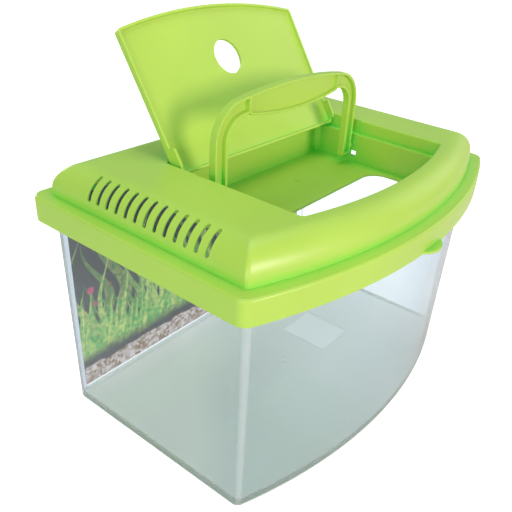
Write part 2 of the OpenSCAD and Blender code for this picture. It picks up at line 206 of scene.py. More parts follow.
class KeeperLooks(bpy.types.PropertyGroup):
    """Colours of the finishes, and of the painted shade in the lime plastic's recesses."""

    lime: shade_of("Lime", 0xB5DA56, "Moulded polypropylene of the lid, hatch and handle")
    # Painted shade: the deeper green painted into the lid's recesses and the well's corners
    deep: shade_of("Deep lime", 0x44E454, "The same plastic in its recesses, where light has bounced in it")
    clear: shade_of("Clear", 0xEBF0F4, "Tint of the clear polystyrene's walls")
    # The front wall's tint, a little darker than the other walls
    handled: shade_of("Handled", 0xDCE3EA, "Tint of its front wall")
    post: shade_of("Corner post", 0xC0C6D2, "Tint of its rear left corner")
    # Partly real haze, partly painted shade: the grey-green tint of the tank's floor
    haze: shade_of("Floor haze", 0xB4BFBA, "Tint of its floor, dulled by scuffs")
    scuff: shade_of("Scuffs", 0xC9D6D3, "Scattered light on its edges")
    slate: shade_of("Slate", 0x2B3237, "Dark water of the backdrop film")
    leaf: shade_of("Leaf", 0x36C45C, "Leaves on the backdrop film")
    tip: shade_of("Leaf tip", 0xECFF90, "Sunlit leaves on the backdrop film")
    blossom: shade_of("Blossom", 0xE84E8C, "Rosettes on the backdrop film")
    gravel: shade_of("Gravel", 0xC9B48C, "Gravel on the backdrop film")
    paper: shade_of("Film back", 0xE4E7E6, "Unprinted back of the film")


# ---------- Outlines and skins ----------

Outline = namedtuple("Outline", "half radius centre rear corner")
CORNER_STEPS = 10
FRONT_STEPS = 64
LEAST_CORNER = 2.5 * MM
# Points closer than this are one
WELD = 0.001 * MM
# How far a cutter runs past what it cuts
PAST = 1 * MM
SHARP_ANGLE = math.radians(32)


def bowed(half, front, bow, rear, corner):
    """An outline with straight sides and rear, and a front that is one arc."""
    radius = (half * half + bow * bow) / (2 * bow)
    return Outline(half, radius, front + radius, rear, corner)


def inset(shape, by, least=LEAST_CORNER):
    """The outline moved inwards, with its corners kept from closing up."""
    return Outline(shape.half - by, shape.radius - by, shape.centre, shape.rear - by, max(shape.corner - by, least))


def front_of(shape):
    """Y of the middle of an outline's front."""
    return shape.centre - shape.radius


def arc(cx, cy, radius, start, end, steps, skip_first=0, skip_last=0):
    """Points along an arc, with angles in radians."""
    angles = [start + (end - start) * i / steps for i in range(skip_first, steps + 1 - skip_last)]
    return [(cx + radius * math.cos(a), cy + radius * math.sin(a)) for a in angles]


def outline_points(shape):
    """The outline's points, anticlockwise from the rear right corner."""
    half, radius, centre, rear, corner = shape
    cx = half - corner
    cy = centre - math.sqrt((radius - corner) ** 2 - cx**2)
    quarter, half_turn, full = math.pi / 2, math.pi, math.tau
    turn = full + math.atan2(cy - centre, -cx)
    back = 3 * half_turn - turn
    return (
        arc(cx, rear - corner, corner, 0, quarter, CORNER_STEPS)
        + arc(-cx, rear - corner, corner, quarter, half_turn, CORNER_STEPS)
        + arc(-cx, cy, corner, half_turn, turn, CORNER_STEPS)
        + arc(0, centre, radius, turn, back, FRONT_STEPS, 1, 1)
        + arc(cx, cy, corner, back, full, CORNER_STEPS)
    )


def quarter_turn(steps):
    """Angles from 0 to 90 degrees."""
    return [math.pi / 2 * i / steps for i in range(steps + 1)]


def ring(shape, z):
    """The outline at a height."""
    return [(x, y, z) for x, y in outline_points(shape)]


def turned_edge(shape, z, radius, start, steps=4):
    """Rings round a convex edge whose corner is the outline at z; start is the surface it comes from."""
    rings = []
    for a in quarter_turn(steps):
        across, along = radius * (1 - math.cos(a)), radius * (1 - math.sin(a))
        by, rise = {
            "up_outer": (across, -along),
            "in_top": (-along, -across),
            "down_inner": (-across, along),
            "out_bottom": (along, across),
        }[start]
        rings.append(ring(inset(shape, by), z + rise))
    return rings


def skin(name, rings, closed=False):
    """A solid through rings of as many points each: capped at both ends, or joined end to end."""
    count, size = len(rings), len(rings[0])
    faces = []
    for i in range(count if closed else count - 1):
        here, there = i * size, (i + 1) % count * size
        for j in range(size):
            k = (j + 1) % size
            faces.append((here + j, here + k, there + k, there + j))
    if not closed:
        faces.append(tuple(reversed(range(size))))
        faces.append(tuple(range((count - 1) * size, count * size)))
    return solid(name, [p for points in rings for p in points], faces)


def weld(mesh):
    """Joins the points that lie together, and turns the faces outwards."""
    work = bmesh.new()
    work.from_mesh(mesh)
    bmesh.ops.remove_doubles(work, verts=work.verts, dist=WELD)
    bmesh.ops.recalc_face_normals(work, faces=work.faces)
    work.to_mesh(mesh)
    work.free()


def solid(name, points, faces):
    """A mesh object with its faces turned outwards."""
    mesh = bpy.data.meshes.new(name)
    mesh.from_pydata(points, [], faces)
    weld(mesh)
    piece = bpy.data.objects.new(name, mesh)
    bpy.context.scene.collection.objects.link(piece)
    return piece


def prism(name, outline, low, high):
    """An outline in X and Y, extruded along Z."""
    return skin(name, [[(x, y, low) for x, y in outline], [(x, y, high) for x, y in outline]])


def rod(name, start, end, radius, steps=48, edge=0.0):
    """A round bar from start to end along X, with its ends' edges rounded."""
    profile = [(0.0, radius - edge), (edge, radius), (end - start - edge, radius), (end - start, radius - edge)]
    rings = [
        [(start + x, r * math.cos(a), r * math.sin(a)) for a in (math.tau * i / steps for i in range(steps))]
        for x, r in (profile if edge else [(0.0, radius), (end - start, radius)])
    ]
    return skin(name, rings)


def box(name, low, high):
    """A plain block used as a cutter."""
    corners = [(low[0], low[1]), (high[0], low[1]), (high[0], high[1]), (low[0], high[1])]
    return prism(name, corners, low[2], high[2])


def settle(piece):
    """Applies the piece's modifiers to its mesh."""
    graph = bpy.context.evaluated_depsgraph_get()
    graph.update()
    made = bpy.data.meshes.new_from_object(piece.evaluated_get(graph))
    old = piece.data
    piece.modifiers.clear()
    piece.data = made
    bpy.data.meshes.remove(old)
    return piece


def discard(piece):
    """Deletes a helper object."""
    mesh = piece.data
    bpy.data.objects.remove(piece)
    bpy.data.meshes.remove(mesh)


def combine(piece, tools, operation):
    """Adds the tools to the piece, or cuts them out of it, one by one."""
    for tool in tools:
        change = piece.modifiers.new("combine", "BOOLEAN")
        change.operation = operation
        change.solver = "EXACT"
        change.object = tool
        settle(piece)
        discard(tool)
    return piece


def mirrored(tool):
    """The tool and its copy on the other side."""
    twin = tool.copy()
    twin.data = tool.data.copy()
    bpy.context.scene.collection.objects.link(twin)
    for vertex in twin.data.vertices:
        vertex.co.x = -vertex.co.x
    twin.data.flip_normals()
    return [tool, twin]


def moved(piece, matrix):
    """Moves the mesh and leaves the object at the origin."""
    piece.data.transform(matrix)
    return piece


def finish(piece, material, body, node):
    """A clean mesh, smooth shading with true creases, the finish, and what the piece stands for."""
    mesh = piece.data
    work = bmesh.new()
    work.from_mesh(mesh)
    bmesh.ops.remove_doubles(work, verts=work.verts, dist=2 * WELD)
    bmesh.ops.dissolve_degenerate(work, edges=work.edges, dist=WELD)
    work.to_mesh(mesh)
    work.free()
    mesh.validate()
    mesh.materials.clear()
    mesh.materials.append(material)
    for face in mesh.polygons:
        face.use_smooth = True
        face.material_index = 0
    mesh.set_sharp_from_angle(angle=SHARP_ANGLE)
    normals = piece.modifiers.new("even_shading", "WEIGHTED_NORMAL")
    normals.keep_sharp = True
    normals.weight = 100
    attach(piece, body)
    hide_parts(node)
    return piece


# ---------- The object's outlines, each worked out from the one it fits ----------


def tank_outlines(tank):
    """The tank's base, and its rim flange."""
    base = bowed(tank.width / 2, -tank.depth / 2 - tank.bow, tank.bow, tank.depth / 2, tank.corner)
    flange = inset(base, -tank.flare - (TANK_HIGH.x - tank.width / 2 - tank.flare))
    return base, flange


def lid_outlines(tank, lid, hatch):
    """The skirt, the dome, the well's upper and lower walls and the feeding opening."""
    base = tank_outlines(tank)[0]
    skirt = inset(base, -tank.flare - lid.overhang)._replace(corner=lid.skirt_corner)
    dome = inset(skirt, lid.ledge, lid.crease)._replace(corner=lid.crease)
    shut = hatch_outline(hatch)
    well_top = bowed(
        hatch.width / 2 + lid.hatch_gap,
        front_of(shut) - lid.finger_gap,
        lid.well_bow,
        shut.rear + lid.hatch_gap,
        corner=2.6 * MM,
    )
    well_low = bowed(
        hatch.width / 2 - lid.rest,
        front_of(well_top) + lid.front_ledge,
        lid.well_bow,
        shut.rear + lid.hatch_gap - 0.2 * MM,
        corner=4 * MM,
    )
    mouth = bowed(
        well_low.half - lid.mouth_side,
        front_of(well_low) + lid.mouth_margin,
        bow=9 * MM,
        rear=shut.rear - lid.mouth_rear,
        corner=lid.mouth_corner,
    )
    return skirt, dome, well_top, well_low, mouth


def hatch_outline(hatch):
    """The hatch as it lies shut."""
    rear = HATCH_HINGE.y + hatch.pin_inset
    return bowed(hatch.width / 2, rear - hatch.reach, hatch.bow, rear, corner=3 * MM)


# ---------- Materials ----------

# Marks of a band that is open below, or above, in metres past the object
BELOW, ABOVE = (-1.0, -0.9), (0.9, 1.0)
# Lower than polystyrene's 1.59, to match how little the walls mirror
CLEAR_IOR = 1.35
# The raised panel in the tank's floor
PANEL_LEFT, PANEL_RIGHT, PANEL_FRONT, PANEL_REAR = 29 * MM, 67 * MM, -30 * MM, 14 * MM
# Rows of ribbon leaves from the rearmost on: pitch, least and greatest height, sway, and brightness
LEAF_ROWS = (
    (15 * MM, 70 * MM, 165 * MM, 10 * MM, 0.4),
    (10 * MM, 60 * MM, 140 * MM, 8 * MM, 0.6),
    (8 * MM, 50 * MM, 118 * MM, 6 * MM, 0.8),
    (6.5 * MM, 45 * MM, 100 * MM, 4 * MM, 0.9),
    (5 * MM, 40 * MM, 84 * MM, 3 * MM, 1.0),
)
LEAF_SWAY_LENGTH = 90 * MM


def node(tree, kind, inputs=None, **settings):
    """Adds a node, with its settings, values and links. A node given as a value stands for its first output."""
    made = tree.nodes.new(kind)
    for name, value in settings.items():
        setattr(made, name, value)
    for key, value in (inputs or {}).items():
        if isinstance(value, bpy.types.Node):
            value = value.outputs[0]
        if isinstance(value, bpy.types.NodeSocket):
            tree.links.new(value, made.inputs[key])
        else:
            made.inputs[key].default_value = value
    return made


def band(tree, value, low, full, end, high):
    """1 between full and end, falling to 0 at low and at high."""
    rise = node(tree, "ShaderNodeMapRange", {"Value": value, "From Min": low, "From Max": full})
    fall = node(tree, "ShaderNodeMapRange", {"Value": value, "From Min": high, "From Max": end})
    return product(tree, rise, fall)


def most(tree, first, *others):
    """The largest of several values."""
    for other in others:
        first = node(tree, "ShaderNodeMath", {0: first, 1: other}, operation="MAXIMUM")
    return first


def product(tree, first, *others):
    """Several values multiplied."""
    for other in others:
        first = node(tree, "ShaderNodeMath", {0: first, 1: other}, operation="MULTIPLY")
    return first


def layered(tree, colour, *coats):
    """A colour with others laid over it, each by its share."""
    for share, coat in coats:
        made = node(tree, "ShaderNodeMix", {0: share, 6: colour, 7: coat}, data_type="RGBA")
        colour = made.outputs[2]
    return colour


def new_material(name):
    """An empty node material, and its tree."""
    material = bpy.data.materials.new(name)
    material.use_nodes = True
    material.node_tree.nodes.clear()
    return material, material.node_tree


def made_once(maker):
    """The finish that a function makes."""
    return bpy.data.materials.get(maker.__name__) or maker(bpy.context.scene.keeper_looks)


def moulded_polypropylene(looks):
    """Injection-moulded polypropylene: a satin skin over a slightly milky body, with a faint orange-peel grain, and
    painted shade in its recesses.
    """
    material, tree = new_material("moulded_polypropylene")
    place = node(tree, "ShaderNodeTexCoord").outputs["Object"]
    # Flow marks: slow drifts of tone and gloss some 60 mm across
    drift = node(tree, "ShaderNodeTexNoise", {"Vector": place, "Scale": 16.0, "Detail": 2.0, "Roughness": 0.4})
    drifting = {"Value": drift, "From Min": 0.3, "From Max": 0.7}
    tone = node(tree, "ShaderNodeMapRange", drifting | {"To Min": 0.97, "To Max": 1.03})
    rough = node(tree, "ShaderNodeMapRange", drifting | {"To Min": 0.33, "To Max": 0.39})
    # Painted shade: ambient occlusion over some 20 mm paints the well's corners and recesses a deeper green, fading out
    # from 12 mm under the lid's top to 4 mm above it
    open_air = node(tree, "ShaderNodeAmbientOcclusion", {"Distance": 20 * MM}, samples=6).outputs["AO"]
    openness = node(tree, "ShaderNodeMapRange", {"Value": open_air, "From Min": 0.1, "From Max": 0.85})
    height = node(tree, "ShaderNodeSeparateXYZ", {"Vector": place}).outputs["Z"]
    top = LID_HIGH.z
    above_lid = node(tree, "ShaderNodeMapRange", {"Value": height, "From Min": top - 12 * MM, "From Max": top + 4 * MM})
    # The lime with the painted shade laid into its recesses
    body = layered(tree, looks.deep, (most(tree, openness, above_lid), looks.lime))
    colour = node(tree, "ShaderNodeHueSaturation", {"Color": body, "Value": tone})
    # Orange peel softens the highlights. Its ripples are too fine to show, so they are drawn coarser, 1.4 mm across
    peel = node(tree, "ShaderNodeTexNoise", {"Vector": place, "Scale": 700.0, "Detail": 2.0, "Roughness": 0.5})
    bump = node(tree, "ShaderNodeBump", {"Height": peel, "Strength": 0.05, "Distance": 0.4 * MM})
    surface = node(
        tree,
        "ShaderNodeBsdfPrincipled",
        {
            "Base Color": colour,
            "Roughness": rough,
            "IOR": 1.49,
            "Normal": bump,
            "Subsurface Weight": 0.12,
            "Subsurface Radius": (0.9, 1.0, 0.3),
            "Subsurface Scale": 1.5 * MM,
        },
    )
    node(tree, "ShaderNodeOutputMaterial", {"Surface": surface})
    return material


def clear_polystyrene(looks):
    """Injection-moulded clear polystyrene: glass-clear walls, a grey-green floor whose tint is partly real haze and
    partly painted shade, and scuffs on edges and corners.
    """
    material, tree = new_material("clear_polystyrene")
    place = node(tree, "ShaderNodeTexCoord").outputs["Object"]
    x, y, z = node(tree, "ShaderNodeSeparateXYZ", {"Vector": place}).outputs
    facing = node(tree, "ShaderNodeNewGeometry").outputs["Normal"]
    turned = node(tree, "ShaderNodeVectorMath", {0: facing}, operation="ABSOLUTE")
    sideways, _, upright = node(tree, "ShaderNodeSeparateXYZ", {"Vector": turned}).outputs
    # The front wall is tinted a little darker, and the rear left corner is darker beside the film's edge
    handled = band(tree, y, *BELOW, -70 * MM, -40 * MM)
    post = product(
        tree,
        band(tree, x, *BELOW, SHEET_LOW.x - 1 * MM, SHEET_LOW.x),
        band(tree, y, 74 * MM, 75 * MM, *ABOVE),
    )
    walls = layered(tree, looks.clear, (handled, looks.handled), (post, looks.post))
    # The floor's grey-green tint is partly real haze and partly painted shade, darkest at its left end; the raised
    # panel in it is clearer
    lighter_rightwards = node(tree, "ShaderNodeMapRange", {"Value": x, "From Min": -70 * MM, "From Max": 110 * MM, "To Max": 0.55})
    soft = 0.5 * MM
    panel = product(
        tree,
        band(tree, x, PANEL_LEFT - soft, PANEL_LEFT + soft, PANEL_RIGHT - soft, PANEL_RIGHT + soft),
        band(tree, y, PANEL_FRONT - soft, PANEL_FRONT + soft, PANEL_REAR - soft, PANEL_REAR + soft),
        0.5,
    )
    floor = band(tree, z, *BELOW, 2.8 * MM, 5 * MM)
    floor_haze_and_shade = node(tree, "ShaderNodeMath", {0: floor, 1: most(tree, panel, lighter_rightwards)}, operation="SUBTRACT", use_clamp=True)
    # Moulding ripple: 25 mm waves that bend the edges of what is seen through the walls
    ripple = node(tree, "ShaderNodeTexNoise", {"Vector": place, "Scale": 40.0, "Detail": 1.0})
    glassy = node(
        tree,
        "ShaderNodeBsdfPrincipled",
        {
            "Base Color": layered(tree, walls, (floor_haze_and_shade, looks.haze)),
            "Roughness": 0.01,
            "IOR": CLEAR_IOR,
            "Specular IOR Level": 0.3,
            "Transmission Weight": 1.0,
            "Normal": node(tree, "ShaderNodeBump", {"Height": ripple, "Strength": 0.03, "Distance": 1 * MM}),
        },
    )
    # Scuffs scatter light on the lower edge, and on the upright corners, whose faces are turned partly sideways
    scuffed = node(tree, "ShaderNodeBsdfPrincipled", {"Base Color": looks.scuff, "Roughness": 0.5, "IOR": 1.5})
    not_flat = node(tree, "ShaderNodeMapRange", {"Value": upright, "From Min": 0.98, "From Max": 0.9})
    edge = product(tree, band(tree, z, *BELOW, 2.2 * MM, 3.2 * MM), not_flat, 0.5)
    corner = product(tree, band(tree, sideways, 0.42, 0.55, 0.86, 0.97), 0.3)
    # The scuffed underside spreads the light that a clean one would mirror back into the floor
    mirroring = node(tree, "ShaderNodeFresnel", {"IOR": CLEAR_IOR})
    spread = node(tree, "ShaderNodeMapRange", {"Value": mirroring, "From Min": 0.3, "From Max": 0.8, "To Max": 0.9})
    underside = product(tree, spread, band(tree, z, *BELOW, 0.6 * MM, 1 * MM))
    share = most(tree, edge, corner, underside)
    surface = node(tree, "ShaderNodeMixShader", {0: share, 1: glassy, 2: scuffed})
    node(tree, "ShaderNodeOutputMaterial", {"Surface": surface})
    return material


def leaf_layer(tree, x, z, row, pitch, low, high, sway):
    """A row of upright ribbon leaves across the film: a mask of the leaves, and a random tone for each."""
    swing = node(tree, "ShaderNodeMath", {0: z, 1: math.tau / LEAF_SWAY_LENGTH}, operation="MULTIPLY")
    phase = node(tree, "ShaderNodeMath", {0: swing, 1: row * 1.7}, operation="ADD")
    wave = node(tree, "ShaderNodeMath", {0: phase}, operation="SINE")
    lean = node(tree, "ShaderNodeMath", {0: wave, 1: sway, 2: x}, operation="MULTIPLY_ADD")
    across = node(tree, "ShaderNodeMath", {0: lean, 1: pitch}, operation="DIVIDE")
    # The shift sets each row apart and keeps the leaves' numbers above 0
    shifted = node(tree, "ShaderNodeMath", {0: across, 1: row * 0.37 + 50.0}, operation="ADD")
    number = node(tree, "ShaderNodeMath", {0: shifted}, operation="FLOOR")
    place = node(tree, "ShaderNodeMath", {0: shifted}, operation="FRACT")
    chance = node(tree, "ShaderNodeTexWhiteNoise", {"W": number}, noise_dimensions="1D")
    top = node(tree, "ShaderNodeMapRange", {"Value": chance, "To Min": low, "To Max": high})
    share = node(tree, "ShaderNodeMath", {0: z, 1: top}, operation="DIVIDE")
    # A leaf is widest low down and runs out to a point at its own height
    breadth = node(tree, "ShaderNodeMapRange", {"Value": share, "From Min": 1.0, "From Max": 0.35, "To Max": 0.46})
    off = node(tree, "ShaderNodeMath", {0: place, 1: 0.5}, operation="SUBTRACT")
    away = node(tree, "ShaderNodeMath", {0: off}, operation="ABSOLUTE")
    mask = node(tree, "ShaderNodeMath", {0: breadth, 1: away}, operation="SUBTRACT")
    return node(tree, "ShaderNodeMapRange", {"Value": mask, "From Max": 0.06}), chance


def printed_polyester(looks):
    """Offset-printed polyester film: a satin print of ribbon plants over gravel, and a plain pale back."""
    material, tree = new_material("printed_polyester")
    place = node(tree, "ShaderNodeTexCoord").outputs["Object"]
    x, _, height = node(tree, "ShaderNodeSeparateXYZ", {"Vector": place}).outputs
    z = node(tree, "ShaderNodeMath", {0: height, 1: SHEET_LOW.z}, operation="SUBTRACT")
    # Water: dark at the top, with soft grey clouds 40 mm across
    clouds = node(tree, "ShaderNodeTexNoise", {"Vector": place, "Scale": 26.0, "Detail": 3.0})
    colour = layered(tree, looks.slate, (clouds, linear(0x4E585C)))
    # Mottling inside the leaves, 4 mm across
    mottle = node(tree, "ShaderNodeTexNoise", {"Vector": place, "Scale": 260.0, "Detail": 4.0, "Roughness": 0.7})
    speckle = node(tree, "ShaderNodeMapRange", {"Value": mottle, "From Min": 0.35, "From Max": 0.65})
    for row, (*sizes, brightness) in enumerate(LEAF_ROWS):
        mask, chance = leaf_layer(tree, x, z, row, *sizes)
        tone = node(tree, "ShaderNodeMath", {0: chance, 1: 0.35}, operation="ADD")
        leaf = layered(tree, looks.leaf, (product(tree, tone, speckle), looks.tip))
        colour = layered(tree, colour, (mask, layered(tree, looks.slate, (brightness, leaf))))
    # Rosettes 8 mm across, scattered low among the leaves, and bubbles 3 mm across higher up
    for pitch, radius, least, low, high, shade in (
        (15 * MM, 0.26, 0.72, 34 * MM, 86 * MM, looks.blossom),
        (13 * MM, 0.12, 0.6, 90 * MM, 150 * MM, linear(0xDCE8EA)),
    ):
        cells = node(tree, "ShaderNodeTexVoronoi", {"Vector": place, "Scale": 1 / pitch, "Randomness": 0.8})
        chance = node(tree, "ShaderNodeSeparateColor", {"Color": cells.outputs["Color"]}).outputs["Green"]
        shown = node(tree, "ShaderNodeMath", {0: chance, 1: least}, operation="GREATER_THAN")
        disc = node(tree, "ShaderNodeMapRange", {"Value": cells, "From Min": radius * 1.25, "From Max": radius})
        belt = band(tree, z, low - 1 * MM, low, high, high + 1 * MM)
        colour = layered(tree, colour, (product(tree, shown, disc, belt), shade))
    # Gravel: grains 2.5 mm across in creams and browns, under a dark line of shade
    grains = node(tree, "ShaderNodeTexVoronoi", {"Vector": place, "Scale": 400.0, "Randomness": 1.0})
    grain_tone = node(tree, "ShaderNodeSeparateColor", {"Color": grains.outputs["Color"]}).outputs["Red"]
    pebble = layered(tree, linear(0x86683F), (grain_tone, linear(0xFFFFFF)), (0.15, looks.gravel))
    wander = node(tree, "ShaderNodeTexNoise", {"Vector": place, "Scale": 60.0, "Detail": 2.0})
    level = node(tree, "ShaderNodeMath", {0: wander, 1: 9 * MM, 2: z}, operation="MULTIPLY_ADD")
    shaded = node(tree, "ShaderNodeMapRange", {"Value": level, "From Min": 34 * MM, "From Max": 24 * MM})
    bed = node(tree, "ShaderNodeMapRange", {"Value": level, "From Min": 20.5 * MM, "From Max": 19 * MM})
    facing = node(tree, "ShaderNodeNewGeometry").outputs["Normal"]
    rearwards = node(tree, "ShaderNodeSeparateXYZ", {"Vector": facing}).outputs["Y"]
    back = node(tree, "ShaderNodeMath", {0: rearwards, 1: -0.5}, operation="GREATER_THAN")
    colour = layered(tree, colour, (shaded, linear(0x434B50)), (bed, pebble), (back, looks.paper))
    surface = node(tree, "ShaderNodeBsdfPrincipled", {"Base Color": colour, "Roughness": 0.42, "IOR": 1.5})
    node(tree, "ShaderNodeOutputMaterial", {"Surface": surface})
    return material


# ---------- Pieces ----------


def gate_mark(x, y, floor, radius, edge=0.0):
    """The mark of the mould's gate: a low disc that stands 0.5 mm out of a floor."""
    to_floor = Matrix.Translation((x, y, floor - 0.5 * MM))
    return moved(rod("gate", 0, 1 * MM, radius, edge=edge), to_floor @ Matrix.Rotation(-math.pi / 2, 4, "Y"))


class KEEPER_OT_tank(bpy.types.Operator):
    """Make the clear tank: one wall carried up, over the rim and down to the floor inside."""

    bl_idname = "keeper.make_tank"
    bl_label = "Clear tank"

    def execute(self, context):
        tank = context.scene.keeper_tank
        base, flange = tank_outlines(tank)
        top = TANK_HIGH.z
        under = top - tank.flange

        def wall(z, by):
            return inset(base, by - tank.flare * z / top)

        rings = []
        for a in quarter_turn(5):
            lift = tank.base_round * (1 - math.cos(a))
            rings.append(ring(wall(lift, tank.base_round * (1 - math.sin(a))), lift))
        rings += [ring(wall(under, 0), under), ring(flange, under), ring(flange, top)]
        rings.append(ring(wall(top, tank.wall), top))
        bend = tank.floor + tank.fillet
        for a in quarter_turn(10):
            by = tank.wall + tank.fillet * (1 - math.cos(a))
            rings.append(ring(wall(bend, by), bend - tank.fillet * math.sin(a)))
        piece = skin("clear_tank", rings)
        half = (PANEL_RIGHT - PANEL_LEFT) / 2
        panel = bowed(half, PANEL_FRONT, bow=0.02 * MM, rear=PANEL_REAR, corner=2 * MM)
        raised = prism("panel", outline_points(panel), tank.floor - 0.5 * MM, tank.floor + 0.4 * MM)
        moved(raised, Matrix.Translation(((PANEL_LEFT + PANEL_RIGHT) / 2, 0, 0)))
        combine(piece, [raised, gate_mark(-4 * MM, -13 * MM, tank.floor, 3 * MM)], "UNION")
        finish(piece, made_once(clear_polystyrene), "tank", "tank")
        # The lamps reach the inside through the clear walls
        piece.visible_shadow = False
        piece.visible_diffuse = False
        return {"FINISHED"}


class KEEPER_OT_backdrop(bpy.types.Operator):
    """Give the backdrop film its print."""

    bl_idname = "keeper.make_backdrop"
    bl_label = "Backdrop film"

    def execute(self, context):
        sheet = frame["nodes"]["backdrop_sheet"]
        for slot in sheet.material_slots:
            slot.material = made_once(printed_polyester)
        return {"FINISHED"}


def vent_tree():
    """Geometry nodes: a row of upright round-ended prisms, tilted together, along a line."""
    tree = bpy.data.node_groups.new("vent_row", "GeometryNodeTree")
    face = tree.interface
    for name, kind in (
        ("Count", "NodeSocketInt"),
        ("Start", "NodeSocketVector"),
        ("Step", "NodeSocketVector"),
        ("Tilt", "NodeSocketVector"),
        ("Length", "NodeSocketFloat"),
        ("Width", "NodeSocketFloat"),
        ("Reach", "NodeSocketFloat"),
        ("Finish", "NodeSocketMaterial"),
    ):
        face.new_socket(name, in_out="INPUT", socket_type=kind)
    face.new_socket("Geometry", in_out="OUTPUT", socket_type="NodeSocketGeometry")
    given = node(tree, "NodeGroupInput").outputs
    # Just under half the width, so that the two arcs of an end do not meet
    half = product(tree, given["Width"], 0.4999)
    shape = node(tree, "GeometryNodeCurvePrimitiveQuadrilateral", {"Width": given["Length"], "Height": given["Width"]})
    round_ends = node(tree, "GeometryNodeFilletCurve", {"Curve": shape, "Radius": half, "Count": 8}, mode="POLY")
    inner_end, outer_end = (
        node(tree, "ShaderNodeCombineXYZ", {"Z": product(tree, given["Reach"], part)}) for part in (-0.45, 0.55)
    )
    line = node(tree, "GeometryNodeCurvePrimitiveLine", {"Start": inner_end, "End": outer_end})
    tool = node(tree, "GeometryNodeCurveToMesh", {"Curve": line, "Profile Curve": round_ends, "Fill Caps": True})
    places = {"Count": given["Count"], "Start Location": given["Start"], "Offset": given["Step"]}
    row = node(tree, "GeometryNodeMeshLine", places)
    placed = node(tree, "GeometryNodeInstanceOnPoints", {"Points": row, "Instance": tool, "Rotation": given["Tilt"]})
    whole = node(tree, "GeometryNodeRealizeInstances", {"Geometry": placed})
    coated = node(tree, "GeometryNodeSetMaterial", {"Geometry": whole, "Material": given["Finish"]})
    node(tree, "NodeGroupOutput", {"Geometry": coated})
    return tree


def vent_cutters(dome, lid, vents, side, material, width):
    """The cutters of one side's vents, as a plain mesh."""
    middle, half = (vents.start + vents.end) / 2, (vents.end - vents.start) / 2
    chord = lid.roll * math.cos(half)
    across = dome.half - lid.roll + chord * math.cos(middle)
    height = LID_HIGH.z - lid.roll + chord * math.sin(middle)
    first = -vents.forward - (vents.count - 1) / 2 * vents.pitch
    piece = bpy.data.objects.new("vent_row", bpy.data.meshes.new("vent_row"))
    bpy.context.scene.collection.objects.link(piece)
    row = piece.modifiers.new("vent_row", "NODES")
    row.node_group = vent_tree()
    values = {
        "Count": vents.count,
        "Start": (side * across, first, height),
        "Step": (0.0, vents.pitch, 0.0),
        "Tilt": (0.0, side * (math.pi / 2 - middle), 0.0),
        "Length": 2 * lid.roll * math.sin(half),
        "Width": width,
        "Reach": 12 * MM,
        "Finish": material,
    }
    for socket in row.node_group.interface.items_tree:
        if socket.in_out == "INPUT":
            row[socket.identifier] = values[socket.name]
    settle(piece)
    weld(piece.data)
    return piece


def vent_pockets(dome, lid, vents, side, material):
    """The wider mouths of the vents inside the lid, which leave a thin lip at the outer face."""
    pockets = vent_cutters(dome, lid, vents, side, material, vents.width + 2 * vents.relief)
    beyond_row = 100 * MM
    core = rod("core", -beyond_row, beyond_row, lid.roll - vents.lip, steps=160)
    to_roll = Matrix.Translation((side * (dome.half - lid.roll), 0, LID_HIGH.z - lid.roll))
    moved(core, to_roll @ Matrix.Rotation(math.pi / 2, 4, "Z"))
    return combine(pockets, [core], "INTERSECT")


